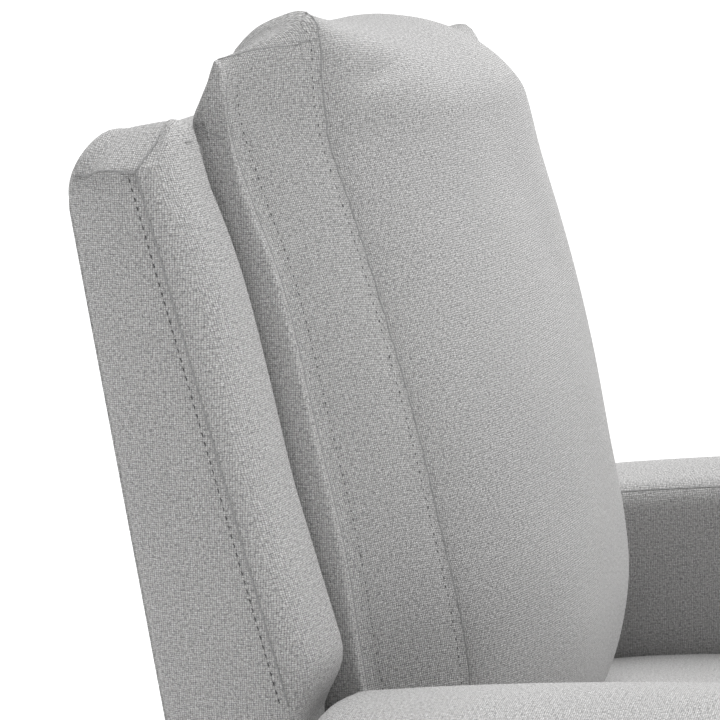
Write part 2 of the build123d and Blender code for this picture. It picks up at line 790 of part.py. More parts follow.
save_mirrored("seat_side_rails", [side_rail()])
save("seat_rail_front", end_rail(SEAT_FRONT))
save("seat_rail_rear", end_rail(SEAT_REAR - BOARD))
front_inside = SEAT_FRONT + BOARD
rear_inside = SEAT_REAR - BOARD
blocks = [corner_block(side, front_inside, 1) for side in (-1, 1)]
blocks += [corner_block(side, rear_inside, -1) for side in (-1, 1)]
save("corner_blocks", group(blocks))
save("seat_springs", group([spring(x) for x in SPRING_XS]))
clip_ends = (FRONT_CLIP_Y, REAR_CLIP_Y)
save("spring_clips", group([spring_clip(x, y) for x in SPRING_XS for y in clip_ends]))
save("spring_pad", spring_pad())
save("dust_cover", dust_cover())
save("seat_cushion", seat_cushion())
save("front_board", front_board())
save("front_cover", front_cover())

save_pair("arm_frame", arm_frame())
save_pair("arm_cover", arm_cover())
save_mirrored("arm_bolts", [arm_bolt(y) for y in ARM_BOLT_YS])
save_mirrored("arm_nuts", [arm_nut(y) for y in ARM_BOLT_YS])

save_pair("back_post", back_post())
save("back_rail_top", back_rail(TOP_RAIL))
save("back_rail_middle", back_rail(MIDDLE_RAIL))
save("back_rail_lower", back_rail(LOWER_RAIL))
save("back_webbing", webbing())
save_mirrored("back_bracket_plates", bracket_plates())
save_pair("wing", wing())
save("outside_back", outside_back())
save("top_roll", top_roll())
save("back_cushion", back_cushion())
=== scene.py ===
import bpy
import json
import math
import numpy as np
from mathutils import Matrix, Vector


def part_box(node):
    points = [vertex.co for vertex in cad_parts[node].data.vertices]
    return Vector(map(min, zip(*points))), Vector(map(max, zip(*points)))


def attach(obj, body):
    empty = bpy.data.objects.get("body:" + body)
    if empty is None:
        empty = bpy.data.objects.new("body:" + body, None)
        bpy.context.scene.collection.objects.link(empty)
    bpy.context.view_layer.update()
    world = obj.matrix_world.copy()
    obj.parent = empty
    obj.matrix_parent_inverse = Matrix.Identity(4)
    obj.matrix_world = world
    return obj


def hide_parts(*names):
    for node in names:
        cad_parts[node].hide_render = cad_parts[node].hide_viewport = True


# Upholstered swivel glider chair, in metres. +Z is up and the chair faces -Y.

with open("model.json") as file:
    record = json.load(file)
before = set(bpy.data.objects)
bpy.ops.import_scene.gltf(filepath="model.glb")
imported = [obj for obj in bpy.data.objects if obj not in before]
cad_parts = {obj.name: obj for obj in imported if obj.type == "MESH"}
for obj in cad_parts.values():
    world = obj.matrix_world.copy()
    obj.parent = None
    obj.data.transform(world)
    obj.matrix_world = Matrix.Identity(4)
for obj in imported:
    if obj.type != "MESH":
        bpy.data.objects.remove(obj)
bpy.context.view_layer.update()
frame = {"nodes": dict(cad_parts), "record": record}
RECORD = frame["record"]

# ---- Sizes read from the frame ----
ARM_LOW, ARM_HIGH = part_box("arm_cover_left")
WING_LOW, WING_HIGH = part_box("wing_left")
SEAT_LOW, SEAT_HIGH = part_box("seat_cushion")
PANEL_LOW, PANEL_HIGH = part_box("outside_back")
FRONT_LOW, FRONT_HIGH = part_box("front_cover")
POST_LOW, POST_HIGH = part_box("back_post_left")
LEDGE_LOW, LEDGE_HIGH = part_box("top_roll")

POST_DEPTH = 0.050         # a back post from front to rear
LEAN = (POST_HIGH.y - POST_LOW.y - POST_DEPTH) / (POST_HIGH.z - POST_LOW.z)
ARM_Z = 0.620              # the height at which the back's distances are given
ARM_TOP_REAR = 0.611       # height of an arm's top at its rear
ARM_TOP_FRONT = 0.634      # and at its front, without its rounded corner
ARM_ARCH = 0.01835         # how far the top rises above a straight line between them
REAR_AT_ARM = PANEL_HIGH.y - LEAN * (PANEL_HIGH.z - ARM_Z)
SIDES = ((1, "left"), (-1, "right"))

# ---- Cloth ----
STITCH_PITCH = 0.0062      # from one stitch to the next
STITCH_LONG = 0.0024       # the part of a stitch that shows
STITCH_R = 0.00042
SEAM_R = 0.00065
SEAM_STEP = 0.006          # distance between the points of a seam line
SEAM_SUNK = 0.0003         # how deep a seam line's middle lies in the cloth
TOPSTITCH_AWAY = 0.0055    # from a seam to its topstitching
YARN = 0.00155             # the width of one yarn of the weave
STEP = 0.006               # the mesh step on the back cushion


def rear(z):
    """The rear face of the chair at a height."""
    return REAR_AT_ARM + LEAN * (z - ARM_Z)


def mix(a, b, t):
    """A value between a and b."""
    return a + (b - a) * t


def smooth(t):
    """An eased step from 0 to 1."""
    t = min(max(t, 0.0), 1.0)
    return t * t * (3 - 2 * t)


def hill(distance, width):
    """A smooth hill of height 1, by the distance from its middle."""
    return math.exp(-((distance / width) ** 2))


def curve_at(points, at):
    """Reads a smooth curve through (place, value) points, which runs straight on past its ends."""
    places, values = zip(*points)
    spans = [b - a for a, b in zip(places, places[1:])]
    slopes = [(b - a) / span for a, b, span in zip(values, values[1:], spans)]
    if at <= places[0]:
        return values[0] + slopes[0] * (at - places[0])
    if at >= places[-1]:
        return values[-1] + slopes[-1] * (at - places[-1])
    k = next(i for i, end in enumerate(places[1:]) if at <= end)
    tangents = [slopes[0]] + [(a + b) / 2 for a, b in zip(slopes, slopes[1:])] + [slopes[-1]]
    leaving, arriving = tangents[k] * spans[k], tangents[k + 1] * spans[k]
    t = (at - places[k]) / spans[k]
    straight = mix(values[k], values[k + 1], smooth(t))
    return straight + leaving * (t * (1 - t) ** 2) - arriving * (t * t * (1 - t))


# ---- Materials ----


def new_material(name, color, roughness, metallic=0.0):
    """A material with its shader, ready for more nodes."""
    material = bpy.data.materials.new(name)
    material.use_nodes = True
    shader = material.node_tree.nodes["Principled BSDF"]
    shader.inputs["Base Color"].default_value = (*color, 1)
    shader.inputs["Roughness"].default_value = roughness
    shader.inputs["Metallic"].default_value = metallic
    return material, shader


class Graph:
    """Short ways to add nodes to a material."""

    def __init__(self, material):
        """Keeps the material's own lists of nodes and links."""
        self.nodes = material.node_tree.nodes
        self.links = material.node_tree.links

    def object_place(self):
        """Where a point lies on its object."""
        return self.nodes.new("ShaderNodeTexCoord").outputs["Object"]

    def plug(self, value, socket):
        """Gives a socket a number, or links it to another node."""
        if isinstance(value, (int, float)):
            socket.default_value = value
        else:
            self.links.new(value, socket)

    def math(self, operation, a, b=0.0):
        """One step of arithmetic on two values."""
        node = self.nodes.new("ShaderNodeMath")
        node.operation = operation
        self.plug(a, node.inputs[0])
        self.plug(b, node.inputs[1])
        return node.outputs[0]

    def noise(self, vector, scale, detail=2.0, stretch=(1, 1, 1)):
        """Noise, finer along an axis with a larger stretch."""
        mapping = self.nodes.new("ShaderNodeMapping")
        mapping.inputs["Scale"].default_value = stretch
        self.links.new(vector, mapping.inputs["Vector"])
        node = self.nodes.new("ShaderNodeTexNoise")
        node.inputs["Scale"].default_value = scale
        node.inputs["Detail"].default_value = detail
        self.links.new(mapping.outputs[0], node.inputs["Vector"])
        return node.outputs["Fac"]

    def ramp(self, value, stops):
        """A colour for each value, from (value, colour) stops."""
        node = self.nodes.new("ShaderNodeValToRGB")
        ramp = node.color_ramp
        while len(ramp.elements) < len(stops):
            ramp.elements.new(0.5)
        for element, (place, color) in zip(ramp.elements, stops):
            element.position = place
            element.color = (*color, 1)
        self.links.new(value, node.inputs["Fac"])
        return node.outputs["Color"]

    def shade(self, shader, value, darkest, color):
        """Colours a shader by a value: from a share of the colour up to the colour itself."""
        tint = self.ramp(value, [(0.3, tuple(c * darkest for c in color)), (0.7, color)])
        self.links.new(tint, shader.inputs["Base Color"])

    def blend_colors(self, kind, amount, a, b):
        """Two colours mixed."""
        node = self.nodes.new("ShaderNodeMix")
        node.data_type = "RGBA"
        node.blend_type = kind
        self.plug(amount, node.inputs["Factor"])
        self.links.new(a, node.inputs["A"])
        self.links.new(b, node.inputs["B"])
        return node.outputs["Result"]

    def bump(self, height, strength, distance, normal=None):
        """A surface normal bent by a height."""
        node = self.nodes.new("ShaderNodeBump")
        node.inputs["Strength"].default_value = strength
        node.inputs["Distance"].default_value = distance
        self.links.new(height, node.inputs["Height"])
        if normal is not None:
            self.links.new(normal, node.inputs["Normal"])
        return node.outputs["Normal"]


def woven_fabric(name, dark, light, warm):
    """Heathered plain weave: yarns that cross over and under, each a mix of lighter and darker fibre, with
    painted shade in the hollows between them.
    """
    material, shader = new_material(name, light, 0.92)
    shader.inputs["Sheen Weight"].default_value = 0.18
    shader.inputs["Sheen Roughness"].default_value = 0.55
    shader.inputs["Specular IOR Level"].default_value = 0.16
    graph = Graph(material)
    uv = graph.nodes.new("ShaderNodeUVMap").outputs["UV"]
    parts = graph.nodes.new("ShaderNodeSeparateXYZ")
    graph.links.new(uv, parts.inputs[0])
    wobble = graph.math("MULTIPLY", graph.math("SUBTRACT", graph.noise(uv, 110.0, 2.0), 0.5), YARN * 1.2)
    u = graph.math("ADD", parts.outputs["X"], wobble)
    v = graph.math("SUBTRACT", parts.outputs["Y"], wobble)
    turn = math.pi / YARN
    across = graph.math("SINE", graph.math("MULTIPLY", u, turn))
    along = graph.math("SINE", graph.math("MULTIPLY", v, turn * 1.15))
    crossing = graph.math("MULTIPLY", across, along)
    over = graph.math("GREATER_THAN", crossing, 0.0)
    weft = graph.noise(uv, 1 / YARN, 1.0, (0.6, 1.2, 1.0))
    warp = graph.noise(uv, 1 / YARN, 1.0, (1.2, 0.6, 1.0))
    weft_shown = graph.math("MULTIPLY", weft, over)
    warp_shown = graph.math("MULTIPLY", warp, graph.math("SUBTRACT", 1.0, over))
    yarn = graph.math("ADD", weft_shown, warp_shown)
    middle = tuple(mix(a, b, 0.56) for a, b in zip(dark, light))
    cloth = graph.ramp(yarn, [(0.30, dark), (0.48, middle), (0.66, light)])
    fleck = graph.ramp(graph.noise(uv, 800.0, 2.0), [(0.40, warm), (0.60, (1, 1, 1))])
    cloth = graph.blend_colors("MULTIPLY", 0.5, cloth, fleck)
    broad = graph.ramp(graph.noise(uv, 9.0, 3.0), [(0.3, (0.965, 0.965, 0.97)), (0.7, (1, 1, 1))])
    cloth = graph.blend_colors("MULTIPLY", 1.0, cloth, broad)
    rise = graph.math("ABSOLUTE", crossing)
    # Painted shade: the cloth is darkened in the hollows where the yarns dip under each other.
    yarn_gap_shade = graph.ramp(rise, [(0.0, (0.42, 0.42, 0.42)), (0.42, (1, 1, 1))])
    cloth = graph.blend_colors("MULTIPLY", 0.85, cloth, yarn_gap_shade)
    graph.links.new(cloth, shader.inputs["Base Color"])
    height = graph.math("ADD", graph.math("POWER", rise, 0.6), graph.math("MULTIPLY", yarn, 0.9))
    fine = graph.bump(graph.noise(uv, 1400.0, 2.0), 0.25, 0.0003)
    graph.links.new(graph.bump(height, 0.6, 0.0006, fine), shader.inputs["Normal"])
    return material


def thread(name, color):
    """Sewing thread with a fine twist."""
    material, shader = new_material(name, color, 0.7)
    graph = Graph(material)
    place = graph.object_place()
    twist = graph.noise(place, 1800.0, 1.0)
    graph.shade(shader, twist, 0.7, color)
    graph.links.new(graph.bump(twist, 0.4, 0.0003), shader.inputs["Normal"])
    return material


def worn_paint(name, color):
    """Satin paint with fine orange peel and a little wear."""
    material, shader = new_material(name, color, 0.42)
    graph = Graph(material)
    place = graph.object_place()
    wear = graph.noise(place, 45.0, 6.0)
    tint = graph.ramp(wear, [(0.35, color), (0.75, tuple(c * 1.7 + 0.01 for c in color))])
    graph.links.new(tint, shader.inputs["Base Color"])
    graph.links.new(graph.math("ADD", 0.33, graph.math("MULTIPLY", wear, 0.2)), shader.inputs["Roughness"])
    graph.links.new(graph.bump(graph.noise(place, 900.0, 2.0), 0.12, 0.0003), shader.inputs["Normal"])
    return material


def bare_metal(name, color, roughness):
    """Plated or bare steel with drawn lines."""
    material, shader = new_material(name, color, roughness, 1.0)
    graph = Graph(material)
    place = graph.object_place()
    lines = graph.noise(place, 260.0, 4.0, (1.0, 1.0, 0.08))
    rough = graph.math("ADD", roughness - 0.08, graph.math("MULTIPLY", lines, 0.2))
    graph.links.new(rough, shader.inputs["Roughness"])
    graph.shade(shader, lines, 0.85, color)
    graph.links.new(graph.bump(lines, 0.08, 0.0002), shader.inputs["Normal"])
    return material


def timber(name, color):
    """Plain sawn timber with long grain."""
    material, shader = new_material(name, color, 0.7)
    graph = Graph(material)
    place = graph.object_place()
    grain = graph.noise(place, 34.0, 6.0, (0.12, 1.0, 0.35))
    graph.shade(shader, grain, 0.62, color)
    graph.links.new(graph.bump(grain, 0.25, 0.0008), shader.inputs["Normal"])
    return material


def moulded_plastic(name, color):
    """Moulded plastic with a fine grain."""
    material, shader = new_material(name, color, 0.5)
    graph = Graph(material)
    place = graph.object_place()
    grain = graph.noise(place, 700.0, 3.0)
    graph.shade(shader, grain, 0.85, color)
    graph.links.new(graph.bump(grain, 0.2, 0.0003), shader.inputs["Normal"])
    return material


def flat_cloth(name, color, scale):
    """Felt, webbing or lining cloth: fibres with a slight mottle. It also makes the darker cloth of the
    seam lines, which is painted shade of their grooves.
    """
    material, shader = new_material(name, color, 0.95)
    graph = Graph(material)
    place = graph.object_place()
    fibre = graph.noise(place, scale, 5.0)
    graph.shade(shader, fibre, 0.6, color)
    graph.links.new(graph.bump(fibre, 0.5, 0.0006), shader.inputs["Normal"])
    return material


CLOTH = woven_fabric("heather_cloth", (0.335, 0.335, 0.34), (0.78, 0.78, 0.78), (0.78, 0.75, 0.71))
# Painted shade: the seam lines get a darker cloth that stands for the shade in each seam's groove.
SEAM_SHADE_CLOTH = flat_cloth("seam_painted_shade", (0.42, 0.42, 0.42), 900.0)
THREAD = thread("grey_thread", (0.15, 0.15, 0.15))
SLOT_MATERIALS = {
    "painted_steel": worn_paint("painted_steel_finish", (0.035, 0.035, 0.038)),
    "zinc_steel": bare_metal("zinc_finish", (0.63, 0.64, 0.65), 0.38),
    "bearing_steel": bare_metal("ball_finish", (0.80, 0.80, 0.82), 0.14),
    "spring_steel": bare_metal("spring_finish", (0.30, 0.30, 0.31), 0.45),
    "black_plastic": moulded_plastic("black_pad_finish", (0.03, 0.03, 0.03)),
    "white_nylon": moulded_plastic("nylon_finish", (0.80, 0.80, 0.77)),
    "poplar": timber("poplar_finish", (0.66, 0.50, 0.32)),
    "plywood": timber("plywood_finish", (0.62, 0.46, 0.28)),
    "felt": flat_cloth("felt_finish", (0.40, 0.40, 0.39), 300.0),
    "webbing": flat_cloth("webbing_finish", (0.10, 0.09, 0.08), 500.0),
    "cambric": flat_cloth("cambric_finish", (0.04, 0.04, 0.04), 600.0),
}


def finish_cad_nodes():
    """Gives each CAD piece that stays its own finish."""
    for part in RECORD["subparts"]:
        material = SLOT_MATERIALS.get(part["material_slot"])
        if material is None:
            continue
        mesh = frame["nodes"][part["node"]].data
        for spot in range(len(mesh.materials)):
            mesh.materials[spot] = material
        if not mesh.materials:
            mesh.materials.append(material)


# ---- Meshes ----


def add_object(name, data):
    """An object in the scene."""
    piece = bpy.data.objects.new(name, data)
    bpy.context.scene.collection.objects.link(piece)
    return piece


def make_object(name, points, faces, uvs, material):
    """A smooth mesh object from points, faces and one UV per corner."""
    mesh = bpy.data.meshes.new(name)
    mesh.from_pydata([tuple(p) for p in points], [], faces)
    layer = mesh.uv_layers.new(name="UVMap")
    flat = np.array([uv for face in uvs for uv in face], np.float32).reshape(-1)
    layer.data.foreach_set("uv", flat)
    mesh.materials.append(material)
    mesh.polygons.foreach_set("use_smooth", [True] * len(mesh.polygons))
    return add_object(name, mesh)


def face_uvs(points, faces):
    """UVs in metres for the weave: each face is laid flat along its main direction."""
    uvs = []
    for face in faces:
        corners = [points[i] for i in face]
        normal = (corners[1] - corners[0]).cross(corners[-1] - corners[0])
        size = [abs(c) for c in normal]
        main = size.index(max(size))
        first, second = ((1, 2), (0, 2), (0, 1))[main]
        uvs.append([(c[first], c[second]) for c in corners])
    return uvs


def closed_skin(name, rings, material, uv_rings=None):
    """A closed form through rings of points, each the same length, with both ends closed by a fan.

    uv_rings holds each ring's own UVs, with the loop's length as the first one's third value. A
    ring without any is laid flat, like every face is when uv_rings is left out.
    """
    count = len(rings[0])
    points = [Vector(p) for ring in rings for p in ring]
    faces = []
    for r in range(len(rings) - 1):
        for k in range(count):
            a = r * count + k
            b = r * count + (k + 1) % count
            faces.append((a, b, b + count, a + count))
    for r, turn in ((0, -1), (len(rings) - 1, 1)):
        points.append(sum((Vector(p) for p in rings[r]), Vector()) / count)
        centre = len(points) - 1
        for k in range(count):
            a, b = r * count + k, r * count + (k + 1) % count
            faces.append((b, a, centre) if turn < 0 else (a, b, centre))
    uvs = face_uvs(points, faces)
    for number, face in enumerate(faces[:(len(rings) - 1) * count] if uv_rings else []):
        spots = [uv_rings[i // count] for i in face]
        if None in spots:
            continue
        last = number % count == count - 1
        uvs[number] = [
            (uv[0][2] if last and i % count == 0 else uv[i % count][0], uv[i % count][1])
            for uv, i in zip(spots, face)
        ]
    return make_object(name, points, faces, uvs, material)


def noise_at(x, y, z, seed):
    """Slow ripples from a few sines, the same on every run."""
    total = 0.0
    for n in range(1, 4):
        total += math.sin(x * 11 * n + seed * 1.7 * n) * math.sin(y * 9 * n + seed * 2.3)
        total += math.sin(z * 13 * n + seed * 0.9 + x * 5 * n) / n
    return total / 6


def inset_outline(points, amounts, closed=True):
    """A side outline moved inwards along its own normals, by one amount or by one for each point."""
    count = len(points)
    if not isinstance(amounts, list):
        amounts = [amounts] * count
    moved = []
    for k, amount in enumerate(amounts):
        before = points[k - 1] if closed else points[max(k - 1, 0)]
        after = points[(k + 1) % count] if closed else points[min(k + 1, count - 1)]
        along = Vector((after[0] - before[0], after[1] - before[1])).normalized()
        moved.append((points[k][0] - along.y * amount, points[k][1] + along.x * amount))
    return moved


def rounded_polygon(corners, radii, step=0.012):
    """Points round a closed outline, anticlockwise, with an arc at each corner that has a radius."""
    count = len(corners)
    turns = 6
    points = []
    for k in range(count):
        here = Vector(corners[k])
        if radii[k] == 0:
            points.append(tuple(here))
            continue
        back = (Vector(corners[k - 1]) - here).normalized()
        ahead = (Vector(corners[(k + 1) % count]) - here).normalized()
        half = back.angle(ahead) / 2
        reach = radii[k] / math.tan(half)
        start, end = here + back * reach, here + ahead * reach
        centre = here + (back + ahead).normalized() * (radii[k] / math.sin(half))
        first = math.atan2(start.y - centre.y, start.x - centre.x)
        last = math.atan2(end.y - centre.y, end.x - centre.x)
        sweep = (last - first + math.pi) % (2 * math.pi) - math.pi
        for n in range(turns + 1):
            angle = first + sweep * n / turns
            points.append((centre.x + radii[k] * math.cos(angle), centre.y + radii[k] * math.sin(angle)))
    filled = []
    for k, point in enumerate(points):
        here, after = Vector(point), Vector(points[(k + 1) % len(points)])
        pieces = max(1, round((after - here).length / step))
        filled.extend(tuple(here.lerp(after, n / pieces)) for n in range(pieces))
    return filled


# How far out each ring of a broad face lies, as a share of the way to its edge.
CAP_SHRINKS = [0.06, 0.16, 0.27, 0.38, 0.49, 0.60, 0.70, 0.79, 0.87, 0.94]
ROLL_TURNS = 6             # mesh steps round a rolled edge
SLAB_STRIP = 0.012         # mesh step across a slab
SLAB_SWELL = 0.0035        # how far a slab's narrow faces swell


def slab_cap(outline, face, side, crown):
    """The rings of a broad face, from its middle outwards: shrunk outlines, swollen and rippled."""
    middle = [sum(p[i] for p in outline) / len(outline) for i in (0, 1)]
    rings = []
    for shrink in CAP_SHRINKS:
        ring = []
        for p in outline:
            y, z = mix(middle[0], p[0], shrink), mix(middle[1], p[1], shrink)
            swell = crown * (1 - shrink ** 2) ** 0.8
            ripple = 0.0012 * noise_at(y * 2, z * 2, y + z, 3 + side) * (1 - shrink ** 4)
            ring.append((face + side * (swell + ripple), y, z))
        rings.append(ring)
    return rings


def padded_slab(name, outline, x, edge, crown, rolls=None):
    """A padded board: a side outline between two values of X, with rolled edges and crowned faces.

    outline runs anticlockwise as seen from +X, crown is how far each broad face swells, and rolls
    is how far the rolled edge comes in at each point.
    """
    low, high = x
    rolls = rolls or [edge] * len(outline)

    def roll(face, side):
        """The rings of a rolled edge, from the face outwards."""
        rings = []
        for n in range(ROLL_TURNS + 1):
            angle = math.pi / 2 * n / ROLL_TURNS
            at = face - side * edge * (1 - math.cos(angle))
            shape = inset_outline(outline, [r * (1 - math.sin(angle)) for r in rolls])
            rings.append([(at, p[0], p[1]) for p in shape])
        return rings

    inner = inset_outline(outline, rolls)
    rings = slab_cap(inner, low, -1, crown) + roll(low, -1)
    width = high - low - 2 * edge
    strips = max(2, round(width / SLAB_STRIP))
    for n in range(1, strips):
        t = n / strips
        shape = inset_outline(outline, -SLAB_SWELL * math.sin(math.pi * t) ** 0.7)
        rings.append([(low + edge + width * t, p[0], p[1]) for p in shape])
    rings += list(reversed(roll(high, 1))) + list(reversed(slab_cap(inner, high, 1, crown)))
    return closed_skin(name, rings, CLOTH)


# ---- Seams ----


def tube_points(path, radius, sides=8):
    """Rings of points round a path."""
    angles = [2 * math.pi * n / sides for n in range(sides)]
    rings = []
    for k, point in enumerate(path):
        before = path[max(k - 1, 0)]
        after = path[min(k + 1, len(path) - 1)]
        along = (after - before).normalized()
        side = along.orthogonal().normalized()
        other = along.cross(side)
        rings.append([point + (side * math.cos(a) + other * math.sin(a)) * radius for a in angles])
    return rings


def even_path(path, step):
    """Points spaced evenly along a path, with the distance between them near step."""
    lengths = [0.0]
    for a, b in zip(path, path[1:]):
        lengths.append(lengths[-1] + (b - a).length)
    count = max(2, round(lengths[-1] / step))
    points = []
    k = 0
    for n in range(count + 1):
        at = lengths[-1] * n / count
        while k < len(lengths) - 2 and lengths[k + 1] < at:
            k += 1
        span = lengths[k + 1] - lengths[k]
        points.append(path[k].lerp(path[k + 1], (at - lengths[k]) / span if span else 0))
    return points


def snap(path, skin, lift):
    """Lays a path on a piece's surface, lifted along its normal."""
    laid = []
    for point in path:
        found, place, normal, _ = skin.closest_point_on_mesh(point)
        laid.append(place + normal * lift if found else point)
    return laid


def lay_on_seat(piece):
    """A seam or a row of stitches rides on the seat, as part of the cover."""
    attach(piece, "seat")


def seam_line(name, path, skin):
    """The fine line of a seam, mostly sunk in the cloth, in a darker cloth that paints the shade of the
    seam's groove.
    """
    laid = snap(even_path(path, SEAM_STEP), skin, -SEAM_SUNK)
    lay_on_seat(closed_skin(name, tube_points(laid, SEAM_R), SEAM_SHADE_CLOTH))


def stitch_line(a, b, number, skin):
    """The middle line of one stitch, dipping into the cloth at its ends and pulled unevenly tight."""
    sunk = 0.0004 * abs(math.sin(number * 2.4))
    along = (b - a).normalized()
    start = a + along * (STITCH_PITCH - STITCH_LONG) / 2
    end = a + along * (STITCH_PITCH + STITCH_LONG) / 2
    shape = [start, start.lerp(end, 0.25), start.lerp(end, 0.75), end]
    levels = (-0.0007, 0.0002, 0.0002, -0.0007)
    return [snap([point], skin, level - sunk)[0] for point, level in zip(shape, levels)]


def stitches(name, path, skin):
    """A row of short stitches, each a small closed tube."""
    sides = 6
    points, faces = [], []
    spots = even_path(path, STITCH_PITCH)
    for number, (a, b) in enumerate(zip(spots, spots[1:])):
        rings = tube_points(stitch_line(a, b, number, skin), STITCH_R, sides)
        start = len(points)
        last = start + (len(rings) - 1) * sides
        points.extend(point for ring in rings for point in ring)
        for first in range(start, last, sides):
            for k in range(sides):
                n, m = first + k, first + (k + 1) % sides
                faces.append((n, m, m + sides, n + sides))
        faces.append(tuple(start + k for k in reversed(range(sides))))
        faces.append(tuple(last + k for k in range(sides)))
    uvs = [[(0.0, 0.0)] * len(face) for face in faces]
    lay_on_seat(make_object(name, points, faces, uvs, THREAD))


def stitched_seam(name, path, skin, offset):
    """A seam line with a row of topstitching beside it."""
    seam_line(f"{name}_seam", path, skin)
    stitches(f"{name}_stitches", [p + offset for p in path], skin)


def upholstery(piece, node):
    """Hangs a padded piece on the seat and hides the CAD part that it stands for."""
    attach(piece, "seat")
    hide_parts(node)


# ---- Back cushion ----

SEAM_OUTER = 0.251         # where the gusset meets the cushion's side
SEAM_INNER = 0.202         # where the gusset meets the front panel
CUSHION_SIDE = 0.0060      # how far the side panel stands out from its seam
SIDE_ROLL = 0.005          # the radius of the side panel's edge
SIDE_TURNS = 4             # mesh steps round that edge
FOLD_FADE = 8              # mesh steps over which the folds fade out below the head's ridge
GUSSET_STRIPS = 9          # mesh strips across the gusset
PANEL_STRIPS = 27          # mesh strips across half of the front panel
HEAD_TUCK = 0.02           # how far the head's rear corners are tucked in, as a share of the width
GUSSET_PUFF = 0.0050       # how far the gusset swells between its seams
EAR_DROP = 0.037           # the head sits this much lower at the sitter's left

# Depth of the front at each height: at the middle, at the inner seam and at the outer seam.
CUSHION_FRONT = [
    (0.500, 0.134, 0.185, 0.207), (0.540, 0.116, 0.171, 0.213), (0.590, 0.107, 0.164, 0.220),
    (0.640, 0.110, 0.169, 0.227), (0.700, 0.120, 0.182, 0.235), (0.787, 0.137, 0.203, 0.254),
    (0.880, 0.160, 0.228, 0.276), (0.928, 0.173, 0.243, 0.292), (0.965, 0.181, 0.255, 0.303),
]
# The head's rounded top, from front to rear, as (y, z) at the same three places.
HEAD_MIDDLE = [(0.186, 0.988), (0.199, 1.006), (0.217, 1.020), (0.240, 1.031), (0.267, 1.037),
               (0.296, 1.038), (0.319, 1.032), (0.333, 1.017), (0.338, 0.990)]
HEAD_INNER = [(0.258, 0.994), (0.259, 1.016), (0.259, 1.036), (0.262, 1.047), (0.271, 1.054),
              (0.289, 1.050), (0.307, 1.041), (0.324, 1.022), (0.335, 0.990)]
HEAD_OUTER = [(0.307, 0.984), (0.308, 0.999), (0.308, 1.013), (0.310, 1.022), (0.314, 1.026),
              (0.318, 1.021), (0.322, 1.012), (0.328, 1.000), (0.334, 0.986)]
CUSHION_REAR = [(0.334, 0.955), (0.306, 0.770), (0.279, 0.600), (0.266, 0.515)]
# The seat cushion's top along its sides, from front to rear, as (y, z).
SEAT_SIDE = [(-0.396, 0.430), (-0.380, 0.468), (-0.340, 0.490), (-0.240, 0.497), (-0.060, 0.489),
             (0.120, 0.475), (0.196, 0.464)]
SEAT_CREST = 0.017         # how far the seat cushion's top swells above its sides
RIDGE = len(CUSHION_FRONT) + 5     # the control point along the ridge of the head


def seat_top(x, y):
    """The height of the seat cushion's crowned top."""
    edge = max(0.0, 1 - abs(x / SEAT_HIGH.x) ** 2.6)
    return curve_at(SEAT_SIDE, y) + SEAT_CREST * edge ** 0.7


def cushion_controls(x):
    """The control points of the cushion's outline at a place across it."""
    away = abs(x)
    base = seat_top(x, 0.15) - 0.002
    if away >= SEAM_INNER:
        t = (away - SEAM_INNER) / (SEAM_OUTER - SEAM_INNER)
        shares, fall = (0.0, 1 - t, t), (0.0, 1 - t ** 0.7, t ** 0.7)
        puff = GUSSET_PUFF * max(0.0, math.sin(math.pi * t)) ** 0.8
    else:
        t = (1 - (away / SEAM_INNER) ** 2.4) ** 0.78
        shares = fall = (t, 1 - t, 0.0)
        puff = 0.0

    def blend(values, weights):
        """Values added up by their weights."""
        return sum(value * weight for value, weight in zip(values, weights))

    front = [(blend(depths, shares) - puff, z) for z, *depths in CUSHION_FRONT]
    drop = EAR_DROP * smooth(x / SEAM_INNER)
    head = []
    for spots in zip(HEAD_MIDDLE, HEAD_INNER, HEAD_OUTER):
        y = blend([spot[0] for spot in spots], shares) - puff * 0.4
        z = blend([spot[1] for spot in spots], fall)
        head.append((y, z - drop * smooth((z - 0.95) / 0.07)))
    tuck = [(front[0][0] + 0.016, base)]
    return tuck + front + head + CUSHION_REAR + [(0.258, base)]


def span_counts():
    """How many mesh steps each span of the outline takes, the same at every place across."""
    controls = cushion_controls(0.0)
    rear_first = len(controls) - len(CUSHION_REAR) - 1
    steps = [STEP if k < rear_first else 2 * STEP for k in range(len(controls))]
    spans = zip(controls, controls[1:] + controls[:1], steps)
    return [max(1, round(math.dist(a, b) / step)) for a, b, step in spans]


COUNTS = span_counts()
RIDGE_POINT = sum(COUNTS[:RIDGE])  # the mesh point along the ridge of the head
CAP_POINT = sum(COUNTS[:RIDGE - 2])    # where the cap's seam starts, below the ridge
MIDDLE_POINT = sum(COUNTS[:6])     # about half way up the front


def smooth_loop(controls):
    """A smooth closed curve through control points, as points spaced along each span."""
    spots = [Vector(c) for c in controls]
    after = spots[1:] + spots[:1]
    chords = [(b - a).length for a, b in zip(spots, after)]
    tangents = [(after[k] - spots[k - 1]) / (chords[k - 1] + chords[k]) for k in range(len(spots))]
    points = []
    for k, steps in enumerate(COUNTS):
        leaving, arriving = tangents[k] * chords[k], tangents[(k + 1) % len(spots)] * chords[k]
        for n in range(steps):
            t = n / steps
            straight = spots[k].lerp(after[k], smooth(t))
            points.append(straight + leaving * (t * (1 - t) ** 2) - arriving * (t * t * (1 - t)))
    return points


